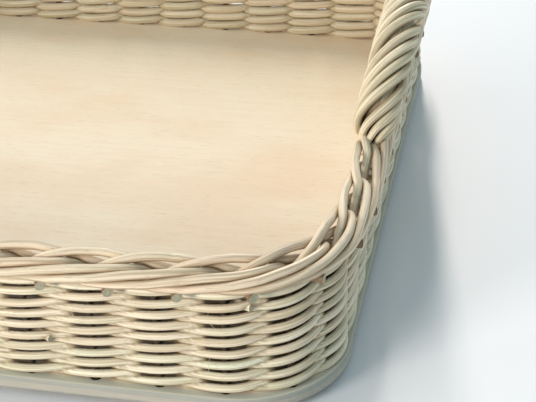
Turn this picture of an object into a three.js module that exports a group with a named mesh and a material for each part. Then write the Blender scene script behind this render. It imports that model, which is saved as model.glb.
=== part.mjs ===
// A rectangular wicker tray with rounded corners. Hairpin stakes pass through holes round a
// plywood board, pairs of weavers fill the wall, the stakes' own ends are laid down into a
// four-rod border, and a bow handle wrapped with thin rods stands on each short side.
// Millimetres, +Z up, long side along X, standing on the hairpins under the board.
import * as THREE from 'three';

// Driving sizes
const LONG = 383;              // stake line, long side
const SHORT = 320;             // stake line, short side
const CORNER = 36;             // stake line, corner radius
const STAKES = 56;             // upright places round the tray, a multiple of 8
const ROUND_COUNT = 9;         // rounds of pairing, two weavers each
const STAKE_DIA = 3.0;
const WEAVER_DIA = 2.4;
const BOARD_THICK = 5.5;
const BOARD_EDGE = 6;          // board beyond the stake line, long sides
const END_EDGE = 4.2;          // the same, short sides
const WALL_LEAN = 0.04;        // wall's outward lean, per mm of height
const CORNER_DRAW = 0.09;      // how much the corners are drawn in, per mm of height
const GAP = 0.3;               // air between pieces that touch
const HANDLE_CORE_DIA = 10;
const HANDLE_RISE = 34;        // bow above the border
const HANDLE_LEAN = 0.15;      // bow's outward lean
const WRAP_DIA = 3.4;
const WRAPS = 4;               // rods in one group round a handle
const WRAP_ANGLE = 36;         // degrees between a wrapping rod and the bow

// What follows from them
const ROD_SIDES = 4;
const stakeR = STAKE_DIA / 2;
const stakeFlat = stakeR * Math.cos(Math.PI / ROD_SIDES);
const weaverHalf = WEAVER_DIA / 2 - GAP / 2;
const weaverR = weaverHalf / Math.cos(Math.PI / ROD_SIDES);
const sideX = LONG - 2 * CORNER;
const sideY = SHORT - 2 * CORNER;
const quarter = CORNER * Math.PI / 2;
const round = 2 * (sideX + sideY) + 4 * quarter;
const step = round / STAKES;
const drawReach = quarter / 2 + 1.4 * step;
const bridgeZ = stakeFlat;
const boardZ = 2 * stakeFlat + GAP;
const floorZ = boardZ + BOARD_THICK;
const weaveTop = floorZ + 2 * ROUND_COUNT * WEAVER_DIA;
const cornerSlope = step / (2 * CORNER);
const swing = stakeFlat + weaverHalf + GAP + (cornerSlope + 0.4) * stakeFlat;
const handleHalf = 2.5 * step;
const shoulderZ = weaveTop + 3.6 * STAKE_DIA + stakeR + GAP;

// Point on the wall: distance along the stake line from the middle of the front side,
// running to the right, then offset outward from the stakes, then height. The wall leans
// outward, except near the middle of each corner, where the rods draw it in.
function wall(along, out, height) {
  let rest = ((along + sideX / 2) % round + round) % round;
  const lean = toCorner => WALL_LEAN - CORNER_DRAW
    * Math.cos(Math.PI / 2 * Math.min(1, toCorner / drawReach)) ** 2;
  const push = toCorner => out + lean(toCorner) * Math.max(0, height - floorZ);
  for (let k = 0; ; k++) {
    const length = k % 2 ? sideY : sideX;
    const far = (k % 2 ? LONG : SHORT) / 2;
    let angle = (k - 1) * Math.PI / 2;
    const normal = new THREE.Vector3(Math.cos(angle), Math.sin(angle), 0);
    const run = new THREE.Vector3(-normal.y, normal.x, 0);
    if (rest <= length) {
      const toCorner = quarter / 2 + Math.min(rest, length - rest);
      return normal.multiplyScalar(far + push(toCorner))
        .addScaledVector(run, rest - length / 2).setZ(height);
    }
    rest -= length;
    if (rest <= quarter) {
      angle += rest / CORNER;
      const centre = normal.multiplyScalar(far - CORNER).addScaledVector(run, length / 2);
      return centre.add(new THREE.Vector3(Math.cos(angle), Math.sin(angle), 0)
        .multiplyScalar(CORNER + push(Math.abs(rest - quarter / 2)))).setZ(height);
    }
    rest -= quarter;
  }
}
const place = i => (i + 0.5) * step;
const outward = i => wall(place(i), 1, 0).sub(wall(place(i), 0, 0)).normalize();

// Closed rod along a line of points with mitred bends; radius may be a list, one per point.
function rod(points, radius, sides, facing) {
  const size = i => (Array.isArray(radius) ? radius[i] : radius);
  const way = points.slice(1).map((p, i) => p.clone().sub(points[i]).normalize());
  const last = points.length - 1;
  const axis = facing.clone().addScaledVector(way[0], -facing.dot(way[0])).normalize();
  const position = [];
  for (let i = 0; i <= last; i++) {
    const before = way[Math.max(i - 1, 0)];
    const after = way[Math.min(i, last - 1)];
    const mitre = before.clone().add(after).normalize();
    const other = before.clone().cross(axis);
    for (let k = 0; k < sides; k++) {
      const a = 2 * Math.PI * (k + 0.5) / sides;
      const v = axis.clone().multiplyScalar(Math.cos(a)).addScaledVector(other, Math.sin(a))
        .multiplyScalar(size(i));
      v.addScaledVector(before, -v.dot(mitre) / before.dot(mitre)).add(points[i]);
      position.push(v.x, v.y, v.z);
    }
    axis.applyQuaternion(new THREE.Quaternion().setFromUnitVectors(before, after));
  }
  const index = [];
  for (let i = 0; i < last; i++) {
    for (let k = 0; k < sides; k++) {
      const a = i * sides + k, b = i * sides + (k + 1) % sides;
      index.push(a, b, b + sides, a, b + sides, a + sides);
    }
  }
  for (let k = 1; k < sides - 1; k++) {
    index.push(0, k + 1, k, last * sides, last * sides + k, last * sides + k + 1);
  }
  const geometry = new THREE.BufferGeometry();
  geometry.setAttribute('position', new THREE.Float32BufferAttribute(position, 3));
  geometry.setIndex(index);
  geometry.computeVertexNormals();
  return geometry;
}

const tray = new THREE.Group();
tray.name = 'wicker_tray';
function add(name, geometry, color, roughness) {
  const material = new THREE.MeshStandardMaterial({ color, roughness, metalness: 0 });
  const mesh = new THREE.Mesh(geometry, material);
  mesh.name = name;
  tray.add(mesh);
}
const two = n => String(n).padStart(2, '0');

// Plywood board with a drilled hole for every upright. Its top is divided along the foot of
// the weave, so the floor inside the tray is a face of its own.
function rim(edge, end) {
  const x = sideX / 2 + end - edge, y = sideY / 2, r = CORNER + edge, path = new THREE.Path();
  path.absarc(x, y, r, 0, Math.PI / 2).absarc(-x, y, r, Math.PI / 2, Math.PI);
  path.absarc(-x, -y, r, Math.PI, 1.5 * Math.PI).absarc(x, -y, r, 1.5 * Math.PI, 2 * Math.PI);
  return path.getPoints(10).slice(0, -1);
}
const holeR = (stakeR + GAP) / Math.cos(Math.PI / 6);
function drilled(i) {
  const c = wall(place(i), 0, 0);
  const turn = Math.atan2(outward(i).y, outward(i).x);
  return [5, 4, 3, 2, 1, 0].map(k => turn + (k + 0.5) * Math.PI / 3)
    .map(a => new THREE.Vector2(c.x + holeR * Math.cos(a), c.y + holeR * Math.sin(a)));
}
const weaveFoot = -swing - WEAVER_DIA;
const edge = rim(BOARD_EDGE, END_EDGE), inside = rim(weaveFoot, weaveFoot);
const holes = Array.from({ length: STAKES }, (_, i) => drilled(i));
const cut = [edge, ...holes].flat(), top = [...cut, ...inside];
const skin = [];
function face(loops, first, points, up) {
  for (const corner of THREE.ShapeUtils.triangulateShape(loops[0], loops.slice(1))) {
    const [a, b, c] = corner.map(k => points[k + first]);
    const left = b.clone().sub(a).cross(c.clone().sub(a)) > 0;
    const z = up ? floorZ : boardZ;
    for (const p of left === up ? [a, b, c] : [a, c, b]) skin.push(p.x, p.y, z);
  }
}
face([edge, ...holes], 0, cut, false);
face([edge, ...holes, inside], 0, top, true);
face([inside], cut.length, top, true);
for (const loop of [edge, ...holes]) {
  loop.forEach((a, k) => {
    const b = loop[(k + 1) % loop.length];
    skin.push(a.x, a.y, boardZ, b.x, b.y, boardZ, b.x, b.y, floorZ);
    skin.push(a.x, a.y, boardZ, b.x, b.y, floorZ, a.x, a.y, floorZ);
  });
}
const board = new THREE.BufferGeometry();
board.setAttribute('position', new THREE.Float32BufferAttribute(skin, 3));
board.computeVertexNormals();
add('base_board', board, 0xe6d2ac, 0.5);

// Course of one upright's upper end through the border, in places along the rim, stake
// diameters outward and stake diameters above the weave: up between its neighbours, over to
// the inside, down behind two uprights, out below, in front of three, and behind one more.
const course = [
  [0, 0, 0.4], [0.33, 0.05, 2.1], [0.7, -0.42, 3.1], [1, -1.12, 3.2], [1.45, -1.27, 2.95],
  [1.95, -1.27, 1.95], [2.25, -0.95, 1.3], [2.5, -0.05, 0.75], [2.9, 1.3, 0.55], [3.45, 1.93, 0.78],
  [3.95, 2.17, 1.27], [4.45, 2, 1.86], [4.95, 1.6, 2.2], [5.45, 1.07, 2.4], [5.75, 0.2, 2.05],
  [6, -1.08, 0.75],
];
const upper = i => course.map(([u, n, z]) =>
  wall(place(i + u), n * STAKE_DIA, weaveTop + z * STAKE_DIA));
const lower = i => [wall(place(i), 0, floorZ), wall(place(i), 0, bridgeZ)];

// Hairpin stakes: each rod is two neighbouring uprights joined by a bridge under the board.
// A handle's feet take the place of four uprights.
const toFoot = STAKES / 4;
const feet = [toFoot - 3, toFoot + 2, 3 * toFoot - 3, 3 * toFoot + 2];
let count = 0;
feet.forEach((foot, k) => {
  const next = feet[(k + 1) % feet.length] + (k + 1 === feet.length ? STAKES : 0);
  for (let i = foot + 1; i < next - 1; i += 2) {
    const line = [...upper(i).reverse(), ...lower(i), ...lower(i + 1).reverse(), ...upper(i + 1)];
    const facing = facingAt(line, outward(i));
    add(`stake_${two(++count)}`, rod(line, stakeR, ROD_SIDES, facing), 0xdccdae, 0.6);
  }
});

// Direction for a rod's first section that brings its flats square to the wall at the bridge.
function facingAt(line, across) {
  const way = line.slice(1).map((p, i) => p.clone().sub(line[i]).normalize());
  const middle = line.length / 2 - 1;
  const facing = across.clone();
  for (let i = middle; i > 0; i--) {
    facing.applyQuaternion(new THREE.Quaternion().setFromUnitVectors(way[i], way[i - 1]));
  }
  return facing;
}

// Weavers: one goes in front of the even uprights, its partner in front of the odd ones. Each
// begins and ends behind the same upright, and the joins are spread round the tray.
for (let k = 0; k < 2 * ROUND_COUNT; k++) {
  const height = floorZ + (k + 0.5) * WEAVER_DIA + GAP / 2;
  const from = (k * 34 + STAKES - 1 + k % 2) % STAKES;
  const line = [];
  for (let i = 0; i <= STAKES; i++) {
    const nudge = i === 0 ? GAP : i === STAKES ? -GAP : 0;
    const side = i % 2 ? swing : -swing;
    line.push(wall(place(from + i) + nudge, side, height));
  }
  const name = `weaver_${two(1 + Math.floor(k / 2))}${'ab'[k % 2]}`;
  add(name, rod(line, weaverR, ROD_SIDES, outward(from)), 0xd9c9a6, 0.6);
}

// Handles: a thick bow whose thinned ends stand in two uprights' places down to the board,
// wrapped by a group of rods laid side by side.
const bowR = (handleHalf ** 2 + HANDLE_RISE ** 2) / (2 * HANDLE_RISE);
const bowTurn = Math.asin(handleHalf / bowR);
const bowHalf = HANDLE_RISE > handleHalf ? Math.PI - bowTurn : bowTurn;
const coreR = HANDLE_CORE_DIA / 2;
const CORE_SIDES = 8, BOW_STEPS = 12, WRAP_STEPS = 8;
const wrapR = (coreR + GAP + WRAP_DIA / 2) / Math.cos(Math.PI / WRAP_STEPS);
const lead = 2 * Math.PI * wrapR / Math.tan(WRAP_ANGLE * Math.PI / 180);
const spread = (WRAP_DIA + 1.6 * GAP) / (wrapR * Math.cos(WRAP_ANGLE * Math.PI / 180));
let leastOwn = Infinity, leastNext = Infinity;

for (const [name, sign, foot] of [['right', 1, feet[0]], ['left', -1, feet[2]]]) {
  const ahead = new THREE.Vector3(0, sign, 0);
  const rise = new THREE.Vector3(sign * (WALL_LEAN + HANDLE_LEAN), 0, 1).normalize();
  const off = ahead.clone().cross(rise).normalize();
  const root = wall(place(foot + 2.5), 0, shoulderZ);
  const bow = angle => root.clone().addScaledVector(ahead, bowR * Math.sin(angle))
    .addScaledVector(rise, bowR * (Math.cos(angle) - Math.cos(bowHalf)));
  const upward = angle => ahead.clone().multiplyScalar(Math.sin(angle))
    .addScaledVector(rise, Math.cos(angle));

  const peg = i => [boardZ, floorZ, shoulderZ].map(z => wall(place(i), 0, z));
  const line = [...peg(foot)], size = [stakeR, stakeR, stakeR];
  for (let k = 0; k <= BOW_STEPS; k++) {
    const tuck = k === 0 || k === BOW_STEPS ? 0.985 : 1;
    line.push(bow(bowHalf * tuck * (2 * k / BOW_STEPS - 1)));
    size.push(coreR);
  }
  line.push(...peg(foot + 5).reverse());
  size.push(stakeR, stakeR, stakeR);
  add(`handle_core_${name}`, rod(line, size, CORE_SIDES, off), 0xcbb78e, 0.65);

  const ends = bowHalf - 2 * WRAP_DIA / bowR;
  const turns = Math.ceil(WRAP_STEPS * 2 * ends * bowR / lead);
  const lines = [];
  for (let w = 0; w < WRAPS; w++) {
    const winding = [];
    for (let k = 0; k <= turns; k++) {
      const angle = ends * (2 * k / turns - 1);
      const spin = w * spread - 2 * Math.PI * angle * bowR / lead;
      winding.push(bow(angle).addScaledVector(off, wrapR * Math.cos(spin))
        .addScaledVector(upward(angle), wrapR * Math.sin(spin)));
    }
    lines.push(winding);
    add(`handle_wrap_${name}_${w + 1}`, rod(winding, WRAP_DIA / 2, ROD_SIDES, off), 0xd8c8a8, 0.6);
  }
  const apart = (a, b, skip) => {
    let least = Infinity;
    a.forEach((p, i) => b.forEach((q, j) => {
      if (Math.abs(i - j) > skip) least = Math.min(least, p.distanceTo(q) - WRAP_DIA);
    }));
    return least;
  };
  leastOwn = Math.min(leastOwn, apart(lines[0], lines[0], WRAP_STEPS / 2));
  leastNext = Math.min(leastNext, apart(lines[0], lines[1], -1));
}
console.log(`wrapping rod, least gap to its own turns ${leastOwn.toFixed(2)} mm,`
  + ` to its neighbour ${leastNext.toFixed(2)} mm`);

export default tray;
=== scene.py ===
# %% [markdown]
# # A wicker tray, rod by rod
# The real tray is a plywood board with a basket wall standing on it. Peeled cane rods come up
# through holes in the board, pairs of thinner rods are twisted round them, and the upright rods
# are then bent over and woven into their own border. Two thick bows, wrapped with more rods, make
# the handles. The lesson follows the maker: every rod is its own mesh, swept along the line that
# the real rod takes.

# %% The frame: the packed solids, in metres, standing on z = 0
import math
import bpy
import numpy as np
from mathutils import Matrix, Vector
from mathutils.kdtree import KDTree


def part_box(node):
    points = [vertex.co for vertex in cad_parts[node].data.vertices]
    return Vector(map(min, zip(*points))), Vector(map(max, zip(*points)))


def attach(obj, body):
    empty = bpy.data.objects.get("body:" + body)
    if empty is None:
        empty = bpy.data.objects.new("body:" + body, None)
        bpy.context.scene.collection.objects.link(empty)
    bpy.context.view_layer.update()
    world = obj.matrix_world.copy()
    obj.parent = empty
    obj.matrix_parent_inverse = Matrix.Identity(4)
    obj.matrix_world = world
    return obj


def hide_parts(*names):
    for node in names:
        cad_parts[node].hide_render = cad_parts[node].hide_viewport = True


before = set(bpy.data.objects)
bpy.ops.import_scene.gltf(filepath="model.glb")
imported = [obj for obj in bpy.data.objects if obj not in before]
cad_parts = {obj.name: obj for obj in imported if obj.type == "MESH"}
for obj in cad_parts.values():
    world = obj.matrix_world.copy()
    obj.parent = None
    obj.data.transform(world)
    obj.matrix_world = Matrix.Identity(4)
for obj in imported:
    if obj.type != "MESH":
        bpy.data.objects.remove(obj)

scene = bpy.context.scene
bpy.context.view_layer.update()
board_low, board_high = (np.array(corner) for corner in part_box("base_board"))

# %% [markdown]
# ## The camera
# The photograph looks down on the near right corner with a long lens. Its place was found by
# matching crossings of the border and rows of the weave with the same places on the tray. A camera
# can be turned by angles, but here its three axes are written out, as they were found.

# %% Camera at the photograph's place
MM = 0.001
PHOTO_WIDE = 536
FOCAL_PIXELS = 1435
CAMERA_AT = Vector((254.5, -556.8, 319.0)) * MM
LOOK_LEFT, LOOK_DOWN, ROLL = math.radians(11.7), math.radians(29.8), math.radians(-1.0)

look = Vector((-math.sin(LOOK_LEFT) * math.cos(LOOK_DOWN),
               math.cos(LOOK_LEFT) * math.cos(LOOK_DOWN), -math.sin(LOOK_DOWN)))
level = Vector((math.cos(LOOK_LEFT), math.sin(LOOK_LEFT), 0))
right = Matrix.Rotation(-ROLL, 3, look) @ level
up = right.cross(look)
lens = bpy.data.cameras.new("photo_camera")
lens.sensor_width = 36
lens.lens = FOCAL_PIXELS * lens.sensor_width / PHOTO_WIDE
lens.clip_start, lens.clip_end = 0.01, 50
camera = bpy.data.objects.new("photo_camera", lens)
axes = Matrix((right, up, -look)).transposed().to_4x4()
camera.matrix_world = Matrix.Translation(CAMERA_AT) @ axes
scene.collection.objects.link(camera)
scene.camera = camera
print("lens", round(lens.lens, 1), "mm")

# %% [markdown]
# ## Measuring along the wall
# A basket maker counts upright places, not millimetres. The stakes stand on a rectangle with round
# corners, so one function turns "so far along, so far outward, so high" into a point. Every rod of
# the wall is described in these three numbers and bends round the corners by itself. The wall leans
# out a little, and it is drawn in at the corners, where the weave pulls tight.

# %% The stake line
LONG, SHORT, CORNER = 383 * MM, 320 * MM, 36 * MM
PLACES, ROUNDS = 56, 9
ROUND_HIGH = 4.8 * MM
side_x, side_y, quarter = LONG - 2 * CORNER, SHORT - 2 * CORNER, CORNER * math.pi / 2
around = 2 * (side_x + side_y) + 4 * quarter
step = around / PLACES
floor_z = board_high[2]
weave_top = floor_z + ROUNDS * ROUND_HIGH


def place(i):
    """Where upright i stands along the stake line, measured from the front's middle."""
    return (np.asarray(i, float) + 0.5) * step


print("one place is", round(step / MM, 2), "mm, the weave ends at", round(weave_top / MM, 1), "mm")

# %% A point on the wall
WALL_LEAN, CORNER_DRAW = 0.04, 0.09
PAST_CORNER = 1.4
draw_reach = quarter / 2 + PAST_CORNER * step


def near_corner(along):
    """1 at the middle of a corner, falling to 0 a little past its ends."""
    between = [0, side_y + quarter, side_x + quarter, side_y + quarter]
    turns = (side_x + quarter) / 2 + np.cumsum(between)
    off = (np.asarray(along)[..., None] - turns + around / 2) % around - around / 2
    return np.cos(math.pi / 2 * np.minimum(1, np.abs(off).min(-1) / draw_reach)) ** 2


def on_wall(along, out, height):
    """Points at a distance along the stake line from the front's middle, running to the right."""
    along, out, height = np.broadcast_arrays(*(np.asarray(a, float) for a in (along, out, height)))
    starts = np.concatenate([[0], np.cumsum([side_x, quarter, side_y, quarter] * 2)])
    run = (along + side_x / 2) % around
    leg = np.clip(np.searchsorted(starts, run, side="right") - 1, 0, 7)
    run = run - starts[leg]
    side, straight = leg // 2, leg % 2 == 0
    facing = (side - 1) * math.pi / 2
    length = np.where(side % 2 == 0, side_x, side_y)
    far = np.where(side % 2 == 0, SHORT, LONG) / 2 - CORNER
    shift = np.where(straight, run - length / 2, length / 2)
    angle = facing + np.where(straight, 0, run / CORNER)
    lean = WALL_LEAN - CORNER_DRAW * near_corner(along)
    reach = CORNER + out + lean * np.maximum(0, height - floor_z)
    x = np.cos(facing) * far - np.sin(facing) * shift + np.cos(angle) * reach
    y = np.sin(facing) * far + np.cos(facing) * shift + np.sin(angle) * reach
    return np.stack([x, y, height], -1)


print("first upright at", np.round(on_wall(place(0), 0, floor_z) / MM, 1), "mm")

# %% [markdown]
# ## A rod
# A cane rod is round, a little uneven, and cut square at its ends. A curve with a round bevel would
# give the shape, but not the facts that its finish needs. So the skin is swept by hand, ring after
# ring, and each point keeps its place in the rod's own grain, the rod's tone, how hard the rod is
# bent there and the shade painted on it. The finishes read these, so fibres follow every bend.

# %% Lines: how far along, and a slow wobble
def travel(line):
    """The length of a line up to each of its points."""
    return np.concatenate([[0], np.cumsum(np.linalg.norm(np.diff(line, axis=0), axis=1))])


def wander(length, size, waves, rng):
    """A slow random wobble along a rod, the sum of a few sines."""
    s = np.asarray(length)[:, None]
    wave = np.asarray(waves)[None, :]
    phase = rng.uniform(0, 2 * math.pi, (1, len(waves)))
    return size * np.sin(2 * math.pi * s / wave + phase).mean(1)


whole_way = travel(on_wall(np.linspace(0, around, 500), 0, floor_z))[-1]
print("once round the stakes is", round(whole_way / MM), "mm")

# %% Parts of a rod's mesh: directions, faces and facts stored on its points
ASKEW = (0.31, 0.22, 0.93)  # a direction that no rod starts in


def unit(v):
    return v / np.linalg.norm(v, axis=-1, keepdims=True)


def carried_across(way):
    """A direction square to the rod, carried along it without twisting."""
    across = np.zeros(way.shape)
    across[0] = unit(np.cross(way[0], ASKEW))
    for k in range(1, len(way)):
        across[k] = unit(across[k - 1] - way[k] * (across[k - 1] @ way[k]))
    return across


def rod_faces(n, sides):
    """Quads between n rings, and a fan on points of its own at each end."""
    i = np.arange(n - 1)[:, None] * sides
    k = np.arange(sides)[None, :]
    nxt = (k + 1) % sides
    quads = np.stack([i + k, i + nxt, i + nxt + sides, i + k + sides], -1).reshape(-1, 4)
    k, nxt, base = k[0], nxt[0], n * sides
    hub = np.full(sides, base + 2 * sides)
    caps = np.vstack([np.stack([base + nxt, base + k, hub], -1),
                      np.stack([base + sides + k, base + sides + nxt, hub + 1], -1)])
    return quads, caps


def store(mesh, name, values):
    """Keeps one number or one vector per point of the mesh."""
    kind, key = ("FLOAT_VECTOR", "vector") if values.ndim == 2 else ("FLOAT", "value")
    layer = mesh.attributes.new(name, kind, "POINT")
    layer.data.foreach_set(key, values.astype(np.float32).ravel())


print("sides and end faces of three rings of ten", [len(faces) for faces in rod_faces(3, 10)])

# %% Sweeping a rod along a line
UNEVEN, LUMPS = 0.035, (0.019, 0.043, 0.11)


def sweep(name, line, radius, finish, seed, shade, sides=10):
    """A closed rod with grain, bend, tone and shade on its points. Its ends are finished as cut."""
    rng = np.random.default_rng(seed)
    n, s = len(line), travel(line)
    way = unit(np.gradient(line, axis=0))
    across = carried_across(way)
    turn = np.arange(sides) * 2 * math.pi / sides
    ring = (np.cos(turn)[None, :, None] * across[:, None]
            + np.sin(turn)[None, :, None] * np.cross(way, across)[:, None])
    size = np.broadcast_to(radius, n) * (1 + wander(s, UNEVEN, LUMPS, rng))
    skin = (line[:, None] + size[:, None, None] * ring).reshape(-1, 3)
    turning = np.linalg.norm(np.gradient(way, axis=0), axis=1)
    hard = turning / np.maximum(np.gradient(s), 1e-6) * size
    offset, thick = rng.uniform(-4, 4, 3), np.repeat(size, sides)
    grain = np.stack([np.repeat(s, sides), np.tile(np.cos(turn), n) * thick,
                      np.tile(np.sin(turn), n) * thick], -1) + offset
    points = np.vstack([skin, skin[:sides], skin[-sides:], line[:1], line[-1:]])
    end_points = np.zeros(len(points) - len(skin))

    quads, caps = rod_faces(n, sides)
    mesh = bpy.data.meshes.new(name)
    mesh.from_pydata(points.tolist(), [], quads.tolist() + caps.tolist())
    mesh.polygons.foreach_set("use_smooth", np.ones(len(mesh.polygons), bool))
    mesh.polygons.foreach_set("material_index",
                              np.repeat([0, 1], [len(quads), len(caps)]).astype(np.int32))
    store(mesh, "grain", np.vstack([grain, grain[:sides], grain[-sides:], offset, offset]))
    store(mesh, "bend", np.clip(np.concatenate([np.repeat(hard, sides), end_points]), 0, 1))
    store(mesh, "tone", np.full(len(points), rng.uniform(0, 1)))
    # painted shade, stored on the points as deep
    deep = np.broadcast_to(shade(ring), (n, sides)).ravel()
    store(mesh, "deep", np.concatenate([deep, end_points]))
    mesh.materials.append(finish)
    mesh.materials.append(cut_end)
    piece = bpy.data.objects.new(name, mesh)
    scene.collection.objects.link(piece)
    return piece


waves = [round(wave / MM) for wave in LUMPS]
print("a rod's thickness wavers by", UNEVEN, "in waves of", waves, "mm")

# %% [markdown]
# ## Finishes
# Where a rod is cut, its end is grey and its pores show as dots. They are too small to model, and
# the cells of a cell texture are dots of just that kind. Nodes can be wired by hand in the editor,
# but written out they can be read and repeated, so a small class adds each node in one line.

# %% A node in one line
class Tree:
    """Adds nodes to a tree, wiring or setting each input in the same line."""

    def __init__(self, tree):
        self.tree = tree

    def add(self, kind, _out=0, _set=None, **inputs):
        """A node's output. An input is given by its name, or as i0, i1 and so on by its number."""
        node = self.tree.nodes.new(kind)
        for key, value in (_set or {}).items():
            setattr(node, key, value)
        for key, value in inputs.items():
            socket = node.inputs[int(key[1:]) if key[1:].isdigit() else key]
            if isinstance(value, bpy.types.NodeSocket):
                self.tree.links.new(value, socket)
            else:
                socket.default_value = value
        return node.outputs[_out]

    def math(self, operation, a, b=0.0, clamp=False):
        wanted = {"operation": operation, "use_clamp": clamp}
        return self.add("ShaderNodeMath", 0, wanted, i0=a, i1=b)

    def vector(self, operation, a, b=(0, 0, 0), _out=0):
        return self.add("ShaderNodeVectorMath", _out, {"operation": operation}, i0=a, i1=b)

    def mix(self, factor, a, b):
        return self.add("ShaderNodeMix", 2, {"data_type": "RGBA"}, i0=factor, i6=a, i7=b)

    def ramp(self, value, low, high):
        """0 at low, 1 at high, smooth between."""
        return self.add("ShaderNodeMapRange", 0, {"interpolation_type": "SMOOTHSTEP"},
                        i0=value, i1=low, i2=high)

    def noise(self, vector, scale, detail=3.0, rough=0.55):
        return self.add("ShaderNodeTexNoise", Vector=vector, Scale=scale, Detail=detail,
                        Roughness=rough)


print("lines for nodes", [name for name in vars(Tree) if not name.startswith("_")])

# %% Finish: the square cut end of a rod
def new_finish(name):
    """A material with one shader, and the tree that its nodes go into."""
    finish = bpy.data.materials.new(name)
    finish.use_nodes = True
    finish.node_tree.nodes.clear()
    output = finish.node_tree.nodes.new("ShaderNodeOutputMaterial")
    shader = finish.node_tree.nodes.new("ShaderNodeBsdfPrincipled")
    finish.node_tree.links.new(shader.outputs[0], output.inputs["Surface"])
    return finish, Tree(finish.node_tree), shader


cut_end, t, shader = new_finish("cut_end")
own = t.add("ShaderNodeTexCoord", 3)
dots = t.add("ShaderNodeTexVoronoi", 0, {"feature": "F1"}, Vector=own, Scale=3400.0)
grey = t.mix(t.ramp(t.noise(own, 900.0), 0.35, 0.65), (0.40, 0.36, 0.25, 1), (0.52, 0.47, 0.34, 1))
pores = t.math("MULTIPLY", t.ramp(dots, 0.34, 0.16), 0.75)
cut_end.node_tree.links.new(t.mix(pores, grey, (0.20, 0.16, 0.10, 1)), shader.inputs["Base Color"])
shader.inputs["Roughness"].default_value = 0.85
shader.inputs["Specular IOR Level"].default_value = 0.2
print("finish", cut_end.name, len(cut_end.node_tree.nodes), "nodes")

# %% [markdown]
# Cane is the core of a climbing palm: cream coloured, with straight fibres and open pores that run
# the whole length of the rod. Where a rod is bent hard its skin wrinkles. An image could carry
# this, but a rod has no natural flat map. The fibres come from noise stretched along the stored
# grain, as one node group that each cane finish uses with its own values.

# %% Group: fibres of a cane rod
def new_group(name, inputs, outputs):
    """A group with named inputs and outputs, and its two end nodes."""
    group = bpy.data.node_groups.new(name, "ShaderNodeTree")
    for label, kind, value in inputs:
        socket = group.interface.new_socket(label, in_out="INPUT", socket_type=kind)
        if value is not None:
            socket.default_value = value
    for label, kind in outputs:
        group.interface.new_socket(label, in_out="OUTPUT", socket_type=kind)
    return group, group.nodes.new("NodeGroupInput"), group.nodes.new("NodeGroupOutput")


fibres, given, result = new_group(
    "cane_fibres",
    [("Grain", "NodeSocketVector", None), ("Bend", "NodeSocketFloat", 0.0),
     ("Fibre Count", "NodeSocketFloat", 1.0)],
    [("Fibre", "NodeSocketFloat"), ("Patch", "NodeSocketFloat"), ("Pore", "NodeSocketFloat"),
     ("Wrinkle", "NodeSocketFloat"), ("Height", "NodeSocketFloat")])
t = Tree(fibres)
grain, count = given.outputs["Grain"], given.outputs["Fibre Count"]
fine = t.noise(t.vector("MULTIPLY", grain, (22, 1350, 1350)), count, 2.0, 0.6)
broad = t.noise(t.vector("MULTIPLY", grain, (12, 700, 700)), 1.0, 2.0)
fibre = t.math("ADD", t.math("MULTIPLY", t.ramp(fine, 0.43, 0.55), 0.6),
               t.math("MULTIPLY", t.ramp(broad, 0.38, 0.60), 0.4))
patch = t.ramp(t.noise(grain, 34.0), 0.32, 0.68)
pore = t.ramp(t.noise(t.vector("MULTIPLY", grain, (210, 3300, 3300)), 1.0, 1.0), 0.66, 0.74)
ripple = t.noise(t.vector("MULTIPLY", grain, (2600, 420, 420)), 1.0, 2.0)
bent = t.ramp(given.outputs["Bend"], 0.10, 0.42)
wrinkle = t.math("MULTIPLY", t.ramp(ripple, 0.44, 0.62), bent)
height = t.math("SUBTRACT", t.math("SUBTRACT", fibre, t.math("MULTIPLY", pore, 0.7)),
                t.math("MULTIPLY", wrinkle, 0.9))
for label, value in (("Fibre", fibre), ("Patch", patch), ("Pore", pore), ("Wrinkle", wrinkle),
                     ("Height", height)):
    fibres.links.new(value, result.inputs[label])
print("group", fibres.name, len(fibres.nodes), "nodes")

# %% [markdown]
# No two rods have the same cream. A rod's tone leans it toward a warm or a green cream, the fibre
# lines, pores and wrinkles are darker, and the stored shade turns the skin brown, then nearly black
# where it lies deep in a gap. Every rod could have a material of its own, but one recipe with four
# mixes is easier to keep in tune. The thicker the rods of a mix, the coarser its fibres.

# %% The recipe for cane
# BROWNED and GAP_DARK paint shade into the colour: brown, then nearly black deep in a gap
PATCHY, LINED, PORED, WRINKLED, BROWNED = 0.55, 0.7, 0.6, 0.35, 1.6
GAP_DARK = (0.05, 0.033, 0.018, 1)


def add_bump(finish, shader, height, strength, distance):
    """Raises the finish by a height that runs from 0 to 1."""
    bump = finish.node_tree.nodes.new("ShaderNodeBump")
    bump.inputs["Strength"].default_value = strength
    bump.inputs["Distance"].default_value = distance
    finish.node_tree.links.new(height, bump.inputs["Height"])
    finish.node_tree.links.new(bump.outputs[0], shader.inputs["Normal"])


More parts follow.
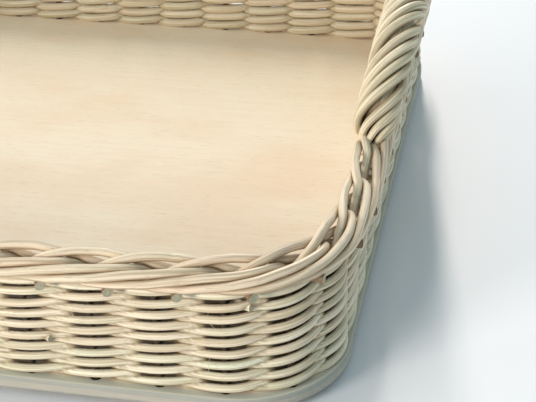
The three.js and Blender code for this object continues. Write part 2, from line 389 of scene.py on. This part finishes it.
def cane(name, count, gloss, *, pale, warm, green, dark, shade_brown):
    """Cane from a fibre count, a roughness, three creams, the fibre lines and a brown for painted
    shade.
    """
    pale, warm, green, dark, shade_brown = ((*tint, 1) for tint in (pale, warm, green, dark, shade_brown))
    finish, tree, shader = new_finish(name)
    link = finish.node_tree.links.new
    group = finish.node_tree.nodes.new("ShaderNodeGroup")
    group.node_tree = fibres
    group.inputs["Fibre Count"].default_value = count
    link(tree.add("ShaderNodeAttribute", 1, {"attribute_name": "grain"}), group.inputs["Grain"])
    link(tree.add("ShaderNodeAttribute", 2, {"attribute_name": "bend"}), group.inputs["Bend"])
    tone = tree.add("ShaderNodeAttribute", 2, {"attribute_name": "tone"})
    deep = tree.add("ShaderNodeAttribute", 2, {"attribute_name": "deep"})
    fibre, patch, pore, wrinkle, height = (group.outputs[k] for k in
                                           ("Fibre", "Patch", "Pore", "Wrinkle", "Height"))
    body = tree.mix(tree.ramp(tone, 0.55, 0.9), pale, warm)
    body = tree.mix(tree.ramp(tone, 0.40, 0.10), body, green)
    body = tree.mix(tree.math("MULTIPLY", patch, PATCHY), body, warm)
    body = tree.mix(tree.math("MULTIPLY", tree.math("SUBTRACT", 1.0, fibre), LINED), body, dark)
    body = tree.mix(tree.math("MULTIPLY", pore, PORED), body, dark)
    body = tree.mix(tree.math("MULTIPLY", wrinkle, WRINKLED), body, dark)
    # painted shade: the stored shade browns the skin, and blackens it deep in a gap
    body = tree.mix(tree.math("MULTIPLY", deep, BROWNED, True), body, shade_brown)
    body = tree.mix(tree.ramp(deep, 0.55, 1.0), body, GAP_DARK)
    link(body, shader.inputs["Base Color"])
    link(tree.math("ADD", gloss, tree.math("MULTIPLY", fibre, -0.12)), shader.inputs["Roughness"])
    shader.inputs["Specular IOR Level"].default_value = 0.35
    add_bump(finish, shader, height, 0.55, 0.12 * MM)
    return finish


print("fibre lines cover", LINED, "of the cream, pores", PORED, "and wrinkles", WRINKLED)

# %% Finish: cane, in four mixes of tone
weaver_cane = cane("weaver_cane", 1.1, 0.58, pale=(0.865, 0.795, 0.605), warm=(0.865, 0.735, 0.56),
                   green=(0.775, 0.755, 0.565), dark=(0.45, 0.355, 0.20), shade_brown=(0.30, 0.22, 0.12))
stake_cane = cane("stake_cane", 1.0, 0.55, pale=(0.86, 0.715, 0.53), warm=(0.86, 0.665, 0.49),
                  green=(0.80, 0.71, 0.52), dark=(0.40, 0.30, 0.175), shade_brown=(0.36, 0.23, 0.115))
handle_cane = cane("handle_cane", 0.9, 0.56, pale=(0.87, 0.76, 0.555), warm=(0.85, 0.705, 0.495),
                   green=(0.79, 0.715, 0.505), dark=(0.38, 0.29, 0.165), shade_brown=(0.30, 0.195, 0.10))
bow_cane = cane("bow_cane", 0.8, 0.62, pale=(0.56, 0.46, 0.31), warm=(0.52, 0.40, 0.25),
                green=(0.48, 0.42, 0.30), dark=(0.28, 0.20, 0.11), shade_brown=(0.22, 0.15, 0.08))
print("cane finishes", [m.name for m in (weaver_cane, stake_cane, handle_cane, bow_cane)])

# %% [markdown]
# ## The weave
# Two rods travel together. Each goes in front of one upright and behind the next, and between two
# uprights the pair makes half a twist, so the rod that comes to the front always climbs a little.
# Curves could be bent by hand, but a cosine in and out with a sine up and down is exactly that
# twist, at every upright. A rod is pressed wide behind an upright, which closes the wall. Each rod
# ends behind an upright, and its cut end shows.

# %% The course of one weaver
SWING, CLIMB = 1.8 * MM, 1.15 * MM
SNUG, PEAKED = 0.85, 0.97
LOOSE = 0.4
DRIFT_OUT, OUT_WAVES = 0.25 * MM, (0.05, 0.13, 0.31)
DRIFT_UP, UP_WAVES = 0.45 * MM, (0.07, 0.17, 0.37)
SEAT = 0.2 * MM
TIP_OUT, TIP_UP, TIP_LONG = 3.2 * MM, 0.8 * MM, 0.35
JOIN_STEP, JOIN_START = 50, 39
STARTS_BEFORE, ENDS_AFTER = 0.2, 0.4
POINTS = PLACES * 12 + 8


def part_way(value, start, end):
    """0 at start, 1 at end, straight between."""
    return np.clip((value - start) / (end - start), 0, 1)


def weaver_line(k, rng):
    """A rod's middle line, the wall's outward direction on it, and how far in front it lies."""
    first = (k * JOIN_STEP + JOIN_START + k % 2) % PLACES
    u = np.linspace(first - STARTS_BEFORE, first + PLACES + ENDS_AFTER, POINTS)
    sign = 1 if k % 2 == 0 else -1
    swing = sign * SWING * (1 + LOOSE * near_corner(place(u)))
    tip = part_way(u, u[-1] - TIP_LONG, u[-1]) ** 1.5
    out = (swing * np.sign(np.cos(math.pi * u)) * np.abs(np.cos(math.pi * u)) ** SNUG
           + wander(u * step, DRIFT_OUT, OUT_WAVES, rng) + tip * TIP_OUT)
    rise = sign * CLIMB * np.arcsin(PEAKED * np.sin(math.pi * u)) * 2 / math.pi
    height = (floor_z + (k // 2 + 0.5) * ROUND_HIGH + SEAT + rise + tip * TIP_UP
              + wander(u * step, DRIFT_UP, UP_WAVES, rng))
    line = on_wall(place(u), out, height)
    facing = (on_wall(place(u), out + MM, height) - line) / MM
    return line, facing, out / SWING


print("a weaver's line has", POINTS, "points")

# %% The lines and thicknesses of nine pairs
WEAVER_R, BACK_R = 1.52 * MM, 2.3 * MM
SWELL_AT, SWELL_FAST = 0.12, 2.2
weavers = []
for k in range(2 * ROUNDS):
    rng = np.random.default_rng(100 + k)
    line, facing, front = weaver_line(k, rng)
    swell = np.clip(SWELL_AT - SWELL_FAST * front, 0, 1)
    size = (WEAVER_R + (BACK_R - WEAVER_R) * swell) * rng.uniform(0.95, 1.04)
    weavers.append((line, facing, front, size))
print("one weaver is", round(travel(weavers[0][0])[-1], 2), "m long")

# %% [markdown]
# Where two rods touch, the skin is painted browner and the crease between them painted dark. This
# painted shade is crisper than the light alone gives. Light alone gives only part of that,
# because these rods are cleaner than real ones. A search tree of the rods' middle lines tells how
# near each point of a skin comes to the skin of the other rods.

# %% How near a skin comes to other rods
class Neighbours:
    """A search tree of points on rods' middle lines, with the rods' thickness there."""

    def __init__(self, lines, sizes):
        self.tree = KDTree(sum(len(line) for line in lines))
        self.rod = np.repeat(np.arange(len(lines)), [len(line) for line in lines]).tolist()
        self.size = np.concatenate(sizes).tolist()
        for n, point in enumerate(np.vstack(lines)):
            self.tree.insert(point, n)
        self.tree.balance()

    def gap(self, point, own, within):
        found = self.tree.find_range(point, within)
        return min((d - self.size[n] for _, n, d in found if self.rod[n] != own), default=1.0)

    def touch(self, line, size, ring, rows, own, wide, within):
        """1 where the skin meets another rod, 0 from a wide gap on, at some rings of a rod."""
        near = np.zeros(ring.shape[:2])
        for j in rows:
            for k in range(ring.shape[1]):
                near[j, k] = 1 - self.gap(line[j] + size[j] * ring[j, k], own[j], within) / wide
        return np.clip(near, 0, 1)


def finer(values, times=3):
    """The same values in finer steps."""
    at = np.linspace(0, len(values) - 1, times * len(values))
    columns = values.reshape(len(values), -1).T
    return np.stack([np.interp(at, np.arange(len(values)), c) for c in columns], -1)


other_weavers = Neighbours([finer(line) for line, *_ in weavers],
                           [finer(size)[:, 0] for *_, size in weavers])
print("points of the weavers' middle lines", len(other_weavers.rod))

# %% Painted shade on a weaver's skin
CREASE, CREASE_WIDE, CREASE_REACH = 0.55, 0.5 * MM, 2.4 * MM
# painted shade: how brown the undersides are, and how dark the far wall's inside
UNDER, FAR_SHADE = 0.4, 0.3
IN_SIGHT = -0.5
FAR_FROM, FAR_TO = 120 * MM, 155 * MM


def weaver_shade(k, ring):
    """Painted shade: dark behind an upright, brown below, in creases and on the far wall's inside.
    """
    line, facing, front, size = weavers[k]
    inward = -np.einsum("nsk,nk->ns", ring, facing)
    # painted shade on the skin of a rod behind an upright, seen through the gaps
    hidden = part_way(-front, 0.35, 0.75)[:, None] * part_way(inward, 0.55, -0.45)
    below = part_way(-1.8 * ring[:, :, 2], 0.7, 1.7)
    # painted shade on the inner face of the far wall
    far_shade = part_way(line[:, 1], FAR_FROM, FAR_TO)[:, None] * part_way(inward, -0.25, 0.25)
    crease = other_weavers.touch(line, size, ring, np.flatnonzero(front > IN_SIGHT),
                                 np.full(len(line), k), CREASE_WIDE, CREASE_REACH)
    return np.maximum.reduce([hidden, UNDER * below, FAR_SHADE * far_shade, CREASE * crease])


print("rings in sight on the first weaver", int((weavers[0][2] > IN_SIGHT).sum()))

# %% The weaving rods
def settle(piece, slot, *nodes):
    """The piece rides on the tray and stands for these solids. The slot is not used."""
    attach(piece, "root")
    if nodes:
        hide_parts(*nodes)


for k, (line, _, _, size) in enumerate(weavers):
    name = f"{1 + k // 2:02d}{'ab'[k % 2]}"
    piece = sweep(f"weaving_rod_{name}", line, size, weaver_cane, 200 + k,
                  lambda ring: weaver_shade(k, ring))
    settle(piece, "weaver_rod", f"weaver_{name}")
print("weaving rods", 2 * ROUNDS, "faces in one", len(piece.data.polygons))

# %% [markdown]
# A rod that is bent dry lets a few fibres go, and these stand off the wall like hairs. They are far
# too thin to sweep ring by ring, so one curve with a tiny round bevel holds them all. It becomes a
# mesh at once, like every other piece.

# %% Loose fibres on the outside of the weave
HAIR_R = 0.07 * MM
NEAR_HAIRS, MORE_HAIRS = [4.62, 5.35, 5.8, 2.9], 20


def as_mesh(curve):
    """The mesh of a curve, with its bevel and fill worked out."""
    shown = bpy.data.objects.new(curve.name, curve)
    scene.collection.objects.link(shown)
    bpy.context.view_layer.update()
    view = bpy.context.evaluated_depsgraph_get()
    mesh = bpy.data.meshes.new_from_object(shown.evaluated_get(view))
    bpy.data.objects.remove(shown)
    mesh.materials.clear()
    return mesh


rng = np.random.default_rng(31)
hairs = bpy.data.curves.new("loose_fibres", "CURVE")
hairs.dimensions = "3D"
hairs.bevel_depth = HAIR_R
hairs.bevel_resolution = 1
t = np.linspace(0, 1, 9)
for i in np.concatenate([NEAR_HAIRS, rng.uniform(0, PLACES, MORE_HAIRS)]):
    lift, drift = rng.uniform(2, 4) * MM, rng.uniform(-4, 4) * MM
    start = floor_z + rng.uniform(0.1, 0.9) * ROUNDS * ROUND_HIGH
    curl = start + rng.uniform(-5, 5) * MM * t + rng.uniform(-2, 2) * MM * np.sin(4 * t)
    out = SWING + 0.8 * WEAVER_R + lift * np.sin(2.4 * t)
    hair = on_wall(place(i) + drift * t ** 2, out, curl)
    spline = hairs.splines.new("POLY")
    spline.points.add(len(t) - 1)
    spline.points.foreach_set("co", np.c_[hair, np.ones(len(t))].ravel())
mesh = as_mesh(hairs)
mesh.materials.append(weaver_cane)
piece = bpy.data.objects.new("loose_fibres", mesh)
scene.collection.objects.link(piece)
settle(piece, "weaver_rod")
print("loose fibres", len(hairs.splines))

# %% [markdown]
# ## Uprights and border
# One rod makes two uprights: it is bent like a hairpin and pushed up through two holes of the
# board. Above the weave each end is laid over to the right: behind two uprights, out, in front of
# three more, behind one, and out below, where it is cut. All ends take the same course, one place
# apart, and that makes the plaited rim. Each end could be laid by eye, but the course is written
# once in places and rod widths, as a maker would count it.

# %% The border's course: places along, rod widths outward, rod widths above the weave
BORDER_COURSE = np.array([
    (0, 0, -2.4), (0, 0, -1), (0.03, 0, 0.3), (0.15, 0.02, 1.2), (0.25, 0.05, 1.75),
    (0.33, 0.05, 2.1), (0.5, -0.1, 2.6), (0.8, -0.7, 3.0), (1.1, -1.15, 2.95), (1.25, -1.25, 2.85),
    (1.4, -1.3, 2.7), (1.7, -1.35, 2.25), (2, -1.3, 1.75), (2.25, -1.15, 1.35), (2.5, -0.65, 0.95),
    (2.75, 0.55, 0.6), (3, 1.35, 0.55), (3.25, 1.7, 0.65), (3.5, 1.95, 0.85), (3.75, 2.1, 1.1),
    (4, 2.15, 1.35), (4.25, 2.1, 1.65), (4.5, 1.95, 1.93), (4.75, 1.77, 2.13), (5, 1.55, 2.26),
    (5.25, 1.31, 2.33), (5.5, 0.98, 2.3), (5.75, 0.2, 2.0), (6, -1.05, 0.85), (6.15, -0.75, 0.65),
    (6.25, -0.1, 0.5), (6.33, 1.05, 0.05), (6.42, 2.25, -0.1)])
ROD = 3.15 * MM
BY_HAND = (0.006, 0.022, 0.025)
HANDLE_FEET = (11, 16, 39, 44)
FOOT_LIFT, FOOT_WIDE = 0.9, 0.75


def border_end(i, rng):
    """Knots of one upright's upper end, from the weave to its cut tip, in wall measures."""
    knots = BORDER_COURSE + rng.normal(0, 1, BORDER_COURSE.shape) * BY_HAND
    knots[:3, 0:2] *= 0.3  # still held by the weave
    if i + 1 in HANDLE_FEET:
        knots[7:10, 1] -= (0.2, 0.2, 0.1)  # room for the handle's foot
    for foot in HANDLE_FEET:
        away = (i + knots[:, 0] - foot + PLACES / 2) % PLACES - PLACES / 2
        upper = part_way(knots[:, 2], 0.4, 1.9)
        knots[:, 2] += FOOT_LIFT * np.exp(-(away / FOOT_WIDE) ** 2) * upper
    return np.stack([place(i + knots[:, 0]), knots[:, 1] * ROD, weave_top + knots[:, 2] * ROD], -1)


print("a border end passes", BORDER_COURSE[-1, 0], "places")

# %% Uprights, the bridge below the board, and a smooth line through all knots
def upright(i):
    """Knots of one upright, from the hole in the board up into the weave."""
    woven = np.linspace(floor_z + 6 * MM, weave_top - 12 * MM, 6)
    heights = np.array([board_low[2] + 0.6 * MM, floor_z, *woven])
    return np.stack([np.full(8, place(i)), np.zeros(8), heights], -1)


def bridge(i):
    """Knots of the bridge from one upright to the next."""
    reach = np.array([0.035, 0.1, 0.5, 0.9, 0.965])
    heights = np.array([1.5, 1.2, 1.2, 1.2, 1.5]) * MM
    return np.stack([place(i + reach), np.zeros(5), heights], -1)


def smooth(knots, each):
    """A smooth line through the knots, each gap cut into so many pieces."""
    p = np.vstack([2 * knots[0] - knots[1], knots, 2 * knots[-1] - knots[-2]])
    t = np.linspace(0, 1, each, endpoint=False)[:, None]
    parts = [0.5 * (2 * b + (c - a) * t + (2 * a - 5 * b + 4 * c - d) * t ** 2
                    + (3 * b - a - 3 * c + d) * t ** 3)
             for a, b, c, d in zip(p, p[1:], p[2:], p[3:])]
    return np.vstack(parts + [knots[-1:]])


print("knots of an upright", len(upright(0)), "and of a bridge", len(bridge(0)))

# %% Hairpins: two uprights, joined below the board
STAKE_R, BRIDGE_R = 1.65 * MM, 1.18 * MM
PRESSED, FLARE = 0.35 * MM, 1.2
OFF_TABLE = 1.04

stakes = []
for foot, following in zip(HANDLE_FEET, HANDLE_FEET[1:] + (HANDLE_FEET[0] + PLACES,)):
    for i in range(foot + 1, following - 1, 2):
        rng = np.random.default_rng(401 + len(stakes))
        knots = np.vstack([border_end(i, rng)[::-1], upright(i)[::-1], bridge(i), upright(i + 1),
                           border_end(i + 1, rng)])
        line = on_wall(*smooth(knots, 4).T)
        size = STAKE_R * rng.uniform(0.95, 1.05)
        woven = part_way(line[:, 2], weave_top - 3 * MM, weave_top - 7 * MM)
        radius = np.where(line[:, 2] < floor_z, BRIDGE_R, size - PRESSED * woven)
        radius[[0, 1, -2, -1]] *= FLARE
        line[:, 2] = np.maximum(line[:, 2], radius * OFF_TABLE)
        stakes.append((line, radius))
print("hairpin stakes", len(stakes), "each about", round(travel(stakes[0][0])[-1], 2), "m long")

# %% [markdown]
# The border's rods touch as the weavers do, so the same kind of search tree serves. The two ends
# of one hairpin lie side by side in the border too, so each half counts as a rod of its own.

# %% Painted shade on a stake's skin
TOUCH = 1.3 * MM
# painted shade: how brown the skin is where rods touch, and on the undersides
TOUCH_SHADE, BELOW = 0.65, 0.5


def even(line, gap):
    """The same line with points an even gap apart."""
    s = travel(line)
    t = np.linspace(0, s[-1], int(s[-1] / gap) + 1)
    return np.stack([np.interp(t, s, line[:, k]) for k in range(3)], -1)


halves = [even(part, 0.7 * MM) for line, _ in stakes for part in np.array_split(line, 2)]
other_stakes = Neighbours(halves, [np.full(len(half), STAKE_R) for half in halves])


def stake_shade(k, ring):
    """Painted shade: dark inside the weave, brown where rods touch and on the underside."""
    line, radius = stakes[k]
    inside = part_way(line[:, 2], weave_top + 2 * MM, weave_top - 1 * MM)
    second = np.arange(len(line)) >= (len(line) + 1) // 2
    rows = np.flatnonzero(line[:, 2] > weave_top - 2 * MM)
    touch = other_stakes.touch(line, radius, ring, rows, 2 * k + second, TOUCH, STAKE_R + TOUCH)
    below = part_way(-1.6 * ring[:, :, 2], 0.3, 1.3)
    return np.maximum.reduce([np.broadcast_to(inside[:, None], ring.shape[:2]),
                              TOUCH_SHADE * touch ** 1.3, BELOW * below])


print("points of the stakes' middle lines", len(other_stakes.rod))

# %% The hairpin stakes
for k, (line, radius) in enumerate(stakes):
    piece = sweep(f"hairpin_stake_{k + 1:02d}", line, radius, stake_cane, 501 + k,
                  lambda ring: stake_shade(k, ring))
    settle(piece, "stake_rod", f"stake_{k + 1:02d}")
print("faces in one stake", len(piece.data.polygons))

# %% [markdown]
# ## Handles
# A thick bow stands on each short side, its thinned ends pushed down into the weave. Two groups of
# four rods are wound round it side by side, and a groove stays open between the groups. A screw
# modifier could wind them, but the bow is curved and its feet taper, so each rod is worked out as
# a turning offset from the bow's middle line.

# %% A bow
HANDLE_RISE, HANDLE_LEAN = 34 * MM, 0.15
BOW_R = 5.1 * MM
half_span = 2.5 * step
bow_round = (half_span ** 2 + HANDLE_RISE ** 2) / (2 * HANDLE_RISE)
bow_half = math.asin(half_span / bow_round)
shoulder = weave_top + 12.6 * MM


def handle_line(sign, foot, low):
    """The bow's middle line from one foot over to the other, and the direction it faces."""
    ahead = np.array([0, sign, 0.0])
    rise = unit(np.array([sign * (WALL_LEAN + HANDLE_LEAN), 0, 1.0]))
    root = on_wall(place(foot + 2.5), 0, shoulder)
    angle = np.linspace(-bow_half, bow_half, 15)[:, None]
    bow = root + bow_round * (ahead * np.sin(angle) + rise * (np.cos(angle) - math.cos(bow_half)))
    pegs = [on_wall(place(f), 0, np.linspace(low, shoulder - 5 * MM, 4)) for f in (foot, foot + 5)]
    return smooth(np.vstack([pegs[0], bow, pegs[1][::-1]]), 8), np.cross(ahead, rise)


def add_bow(side, sign, foot):
    """A bow, thinned at its feet, with painted shade where it goes down into the border."""
    line = even(handle_line(sign, foot, board_high[2] + 0.2 * MM)[0], 2 * MM)
    thick = part_way(line[:, 2], shoulder - 8 * MM, shoulder + 6 * MM) ** 0.7
    # painted shade: the bow darkens where it goes down into the border
    low = part_way(line[:, 2], shoulder + 9 * MM, shoulder + 4 * MM)
    bow = sweep(f"handle_bow_{side}", line, STAKE_R + (BOW_R - STAKE_R) * thick, bow_cane,
                600 + foot, lambda ring: low[:, None], sides=14)
    settle(bow, "handle_bow", f"handle_core_{side}")


print("a bow is bent to a radius of", round(bow_round / MM), "mm")

# %% The rods wrapped round a bow
WRAP_R, WRAP_LEAD, WRAP_GROUP, WRAP_START = 1.85 * MM, 57 * MM, 4, 1.6
TUCK, ENDS_BELOW = 10 * MM, 4 * MM
OPENS, CLOSES, THINNED = 0.12, 0.5, 0.45
WAVER, WAVER_WAVES = 0.03, (0.03, 0.08)
# GROOVE is the strength of painted shade where wrapping rods meet
GROOVE, FLANK = 0.25, 9 / 14
wrap_reach = BOW_R + WRAP_R
wrap_slope = math.atan(2 * math.pi * wrap_reach / WRAP_LEAD)
wrap_spread = 2.06 * WRAP_R / wrap_reach / math.cos(wrap_slope)


def wrap_shade(ring, sideways):
    """Painted shade: brown in the creases, where a rod's flanks meet its neighbours."""
    return GROOVE * part_way(np.abs(np.einsum("nsk,nk->ns", ring, sideways)), FLANK, 1)


def add_wraps(side, sign, foot):
    """Two groups of rods wound round a bow, tapered and tucked in at its feet."""
    middle, off = handle_line(sign, foot, shoulder - TUCK)
    middle = even(middle[middle[:, 2] > shoulder - ENDS_BELOW], 1.2 * MM)
    s = travel(middle) - travel(middle)[-1] / 2
    way = unit(np.gradient(middle, axis=0))
    outward = unit(off - way * (way @ off)[:, None])
    upward = np.cross(outward, way)
    free = part_way(np.abs(s), s[-1] - TUCK, s[-1])
    reach = wrap_reach * (1 + OPENS * free - CLOSES * free ** 2)
    for w in range(2 * WRAP_GROUP):
        rng = np.random.default_rng(700 + foot * 10 + w)
        group, rank = divmod(w, WRAP_GROUP)
        spin = WRAP_START + group * math.pi + rank * wrap_spread - 2 * math.pi * s / WRAP_LEAD
        spin = (spin + wander(s, WAVER, WAVER_WAVES, rng))[:, None]
        line = middle + reach[:, None] * (outward * np.cos(spin) + upward * np.sin(spin))
        sideways = np.cross(unit(np.gradient(line, axis=0)), (line - middle) / reach[:, None])
        taper = WRAP_R * rng.uniform(0.95, 1.04) * (1 - THINNED * free ** 2)
        rod = sweep(f"handle_wrap_{side}_{w + 1}_rod", line, taper, handle_cane,
                    800 + foot * 10 + w, lambda ring: wrap_shade(ring, sideways))
        nodes = [f"handle_wrap_{side}_{w + 1}"] if w < WRAP_GROUP else []
        settle(rod, "handle_rod", *nodes)


print("the wrapping slants", round(math.degrees(wrap_slope)), "degrees across the bow")

# %% The two handles
HANDLES = (("right", 1, HANDLE_FEET[0]), ("left", -1, HANDLE_FEET[2]))
for side, sign, foot in HANDLES:
    add_bow(side, sign, foot)
    add_wraps(side, sign, foot)
print("handles", len(HANDLES), "with", 2 * WRAP_GROUP, "wrapping rods each")

# %% [markdown]
# ## The board
# The base is thin plywood with a pale veneer on its face and grey layers along its edge. Both show
# the same wood, streaked along the grain and blotched. Two image textures could carry it, but a
# second node group holds that figure without a seam, and each finish uses it with its own stretch.

# %% Group: figure of the veneer
figure, given, result = new_group(
    "veneer_figure", [("Place", "NodeSocketVector", None), ("Stretch", "NodeSocketFloat", 1.0)],
    [("Streak", "NodeSocketFloat"), ("Blotch", "NodeSocketFloat"), ("Pore", "NodeSocketFloat")])
t = Tree(figure)
where = given.outputs["Place"]
lengthwise = t.vector("MULTIPLY", where, (22, 420, 420))
streak = t.ramp(t.noise(lengthwise, given.outputs["Stretch"], 5.0, 0.6), 0.3, 0.7)
blotch = t.ramp(t.noise(t.vector("MULTIPLY", where, (11, 19, 19)), 1.0, 5.0, 0.62), 0.42, 0.68)
pore = t.ramp(t.noise(t.vector("MULTIPLY", where, (160, 2600, 2600)), 1.0, 1.0), 0.64, 0.72)
for label, value in (("Streak", streak), ("Blotch", blotch), ("Pore", pore)):
    figure.links.new(value, result.inputs[label])
print("group", figure.name, len(figure.nodes), "nodes")

# %% Finish: veneer, with painted shade: warmer toward the back, grey outside the wall
def with_figure(finish, tree, stretch):
    """The board's own coordinates, and the figure's three masks there."""
    own = tree.add("ShaderNodeTexCoord", 3)
    group = finish.node_tree.nodes.new("ShaderNodeGroup")
    group.node_tree = figure
    finish.node_tree.links.new(own, group.inputs["Place"])
    group.inputs["Stretch"].default_value = stretch
    return own, group.outputs["Streak"], group.outputs["Blotch"], group.outputs["Pore"]


veneer, t, shader = new_finish("veneer")
own, streak, blotch, pore = with_figure(veneer, t, 1.0)
wood = t.mix(t.math("MULTIPLY", blotch, 0.85), (0.86, 0.735, 0.575, 1), (0.83, 0.645, 0.475, 1))
wood = t.mix(t.math("MULTIPLY", streak, 0.22), wood, (0.74, 0.61, 0.44, 1))
wood = t.mix(t.math("MULTIPLY", pore, 0.35), wood, (0.52, 0.36, 0.20, 1))
# painted shade: the floor darker and warmer toward the back wall
back = t.ramp(t.add("ShaderNodeSeparateXYZ", 1, i0=own), -0.04, 0.165)
wood = t.mix(t.math("MULTIPLY", back, 0.14), wood, (0.72, 0.50, 0.13, 1))
# painted shade: the rim outside the wall is greyer
inner = (LONG / 2 - CORNER, SHORT / 2 - CORNER, 1.0)
past = t.vector("SUBTRACT", t.vector("ABSOLUTE", own), inner)
past = t.vector("LENGTH", t.vector("MAXIMUM", past), _out=1)
outside = t.math("MULTIPLY", t.ramp(past, CORNER, CORNER + 3 * MM), 0.85)
wood = t.mix(outside, wood, (0.50, 0.505, 0.42, 1))
veneer.node_tree.links.new(wood, shader.inputs["Base Color"])
veneer.node_tree.links.new(t.math("ADD", 0.78, t.math("MULTIPLY", streak, 0.12)),
                           shader.inputs["Roughness"])
shader.inputs["Specular IOR Level"].default_value = 0.1
add_bump(veneer, shader, t.math("SUBTRACT", streak, pore), 0.25, 0.1 * MM)
print("finish", veneer.name, len(veneer.node_tree.nodes), "nodes")

# %% Finish: the plywood's edge, a pale core between grey layers
ply_edge, t, shader = new_finish("ply_edge")
own, streak, _, _ = with_figure(ply_edge, t, 2.0)
high = t.add("ShaderNodeSeparateXYZ", 2, i0=own)
wavy = t.noise(t.vector("MULTIPLY", own, (30, 30, 1)), 1.0)
wavy = t.math("MULTIPLY", t.math("SUBTRACT", wavy, 0.5), 0.8 * MM)
layer = t.math("DIVIDE", t.math("SUBTRACT", t.math("ADD", high, wavy), float(board_low[2])),
               float(board_high[2] - board_low[2]))
core = t.math("MULTIPLY", t.ramp(layer, 0.16, 0.22), t.ramp(layer, 0.64, 0.58))
edge = t.mix(core, (0.40, 0.395, 0.345, 1), (0.50, 0.46, 0.38, 1))
edge = t.mix(t.math("MULTIPLY", streak, 0.4), edge, (0.30, 0.28, 0.23, 1))
ply_edge.node_tree.links.new(edge, shader.inputs["Base Color"])
shader.inputs["Roughness"].default_value = 0.8
rough = t.noise(t.vector("MULTIPLY", own, (500, 500, 1800)), 1.0)
add_bump(ply_edge, shader, rough, 0.4, 0.15 * MM)
print("finish", ply_edge.name, len(ply_edge.node_tree.nodes), "nodes")

# %% [markdown]
# A box with holes cut by booleans would do for the board, but a flat curve with a hole for every
# rod, filled, thickened and rounded, gives it in one go. Turned into a mesh, its flat faces take
# the veneer and its sides the plywood's edge.

# %% The board's outline, with a hole for every rod
ROUNDED = 0.9 * MM
BOARD_EDGE, END_EDGE = 5.5 * MM, 4.2 * MM
HOLE_ROOM = 0.1 * MM
RIM_POINTS, HOLE_POINTS = 560, 14
outline = bpy.data.curves.new("board_outline", "CURVE")
outline.dimensions = "2D"
outline.fill_mode = "BOTH"
outline.extrude = (board_high[2] - board_low[2]) / 2 - ROUNDED
outline.bevel_depth = ROUNDED
outline.bevel_resolution = 3


def add_loop(points):
    """A closed loop in the outline, flat on its plane."""
    spline = outline.splines.new("POLY")
    spline.points.add(len(points) - 1)
    flat = np.c_[points[:, :2], np.zeros(len(points)), np.ones(len(points))]
    spline.points.foreach_set("co", flat.ravel())
    spline.use_cyclic_u = True


rim = on_wall(np.linspace(0, around, RIM_POINTS, endpoint=False), BOARD_EDGE - ROUNDED, 0)
rim[:, 0] -= (BOARD_EDGE - END_EDGE) * np.clip(rim[:, 0] / (side_x / 2), -1, 1)
add_loop(rim)
turn = np.linspace(0, 2 * math.pi, HOLE_POINTS, endpoint=False)[:, None]
hole = np.hstack([np.cos(turn), np.sin(turn), 0 * turn]) * (STAKE_R + HOLE_ROOM + ROUNDED)
for i in range(PLACES):
    add_loop(on_wall(place(i), 0, 0) + hole)
print("one rim and", len(outline.splines) - 1, "holes")

# %% The board as a mesh, veneer on its faces and layers on its sides
mesh = as_mesh(outline)
mesh.transform(Matrix.Translation((0, 0, (board_low[2] + board_high[2]) / 2)))
mesh.materials.append(veneer)
mesh.materials.append(ply_edge)
for face in mesh.polygons:
    face.use_smooth = abs(face.normal.z) < 0.99
    face.material_index = 0 if abs(face.normal.z) > 0.8 else 1
board = bpy.data.objects.new("plywood_board", mesh)
scene.collection.objects.link(board)
settle(board, "plywood", "base_board")
low, high = (np.array(c) for c in (board.bound_box[0], board.bound_box[6]))
print("board", np.round((high - low) / MM, 2), "mm, underside at", round(low[2] / MM, 2))

# %% [markdown]
# ## Table and light
# The tray stands on a white table. Its shadow in the photograph is narrow at the far end and wide
# at the near corner, so the main light stands behind the tray, a tall narrow window, and a low soft
# box at the front left lights the wall we look at. A cool glow from all round keeps the shadow
# blue. A wide plane is enough for the table, because the camera looks down and sees nothing else.

# %% Table
TABLE_HALF = 4
table_top, t, shader = new_finish("table_white")
cloud = t.ramp(t.noise(t.add("ShaderNodeTexCoord", 3), 6.0), 0.3, 0.7)
table_top.node_tree.links.new(t.mix(cloud, (0.77, 0.775, 0.79, 1), (0.795, 0.80, 0.815, 1)),
                              shader.inputs["Base Color"])
shader.inputs["Roughness"].default_value = 0.6
mesh = bpy.data.meshes.new("table")
corners = [(x * TABLE_HALF, y * TABLE_HALF, 0) for x, y in ((-1, -1), (1, -1), (1, 1), (-1, 1))]
mesh.from_pydata(corners, [], [(0, 1, 2, 3)])
mesh.materials.append(table_top)
table = bpy.data.objects.new("table", mesh)
scene.collection.objects.link(table)
print("table", 2 * TABLE_HALF, "m wide")

# %% Light
AIM = Vector((0.1, -0.05, 0.03))
LAMP_WHITE = (1.0, 0.91, 0.84)
AWAY = 2.0


def soft_box(name, toward, height, wide, tall, watts):
    """A soft box in a level direction, so many degrees above the table."""
    level = Vector(toward).normalized() * math.cos(math.radians(height))
    lamp = bpy.data.lights.new(name, "AREA")
    lamp.shape, lamp.size, lamp.size_y = "RECTANGLE", wide, tall
    lamp.energy, lamp.color = watts, LAMP_WHITE
    lamp_object = bpy.data.objects.new(name, lamp)
    lamp_object.location = AIM + AWAY * Vector((level.x, level.y, math.sin(math.radians(height))))
    aim = AIM - lamp_object.location
    lamp_object.rotation_euler = aim.to_track_quat("-Z", "Y").to_euler()
    scene.collection.objects.link(lamp_object)


soft_box("window_strip", (-0.123, 0.992, 0), height=42, wide=0.15, tall=1.8, watts=33)
soft_box("front_soft_box", (-0.61, -0.79, 0), height=15, wide=0.6, tall=0.6, watts=33)
world = bpy.data.worlds.new("pale_room")
scene.world = world
world.use_nodes = True
glow = world.node_tree.nodes["Background"]
glow.inputs["Color"].default_value = (0.72, 0.915, 1.0, 1)
glow.inputs["Strength"].default_value = 0.59
scene.view_settings.view_transform = "Standard"
print("lamps", [lamp.name for lamp in bpy.data.lights])

# %% [markdown]
# ## Sizes
# The solids and the finished tray stand in one frame, so their boxes should nearly agree. They
# could be laid over each other in the viewport.
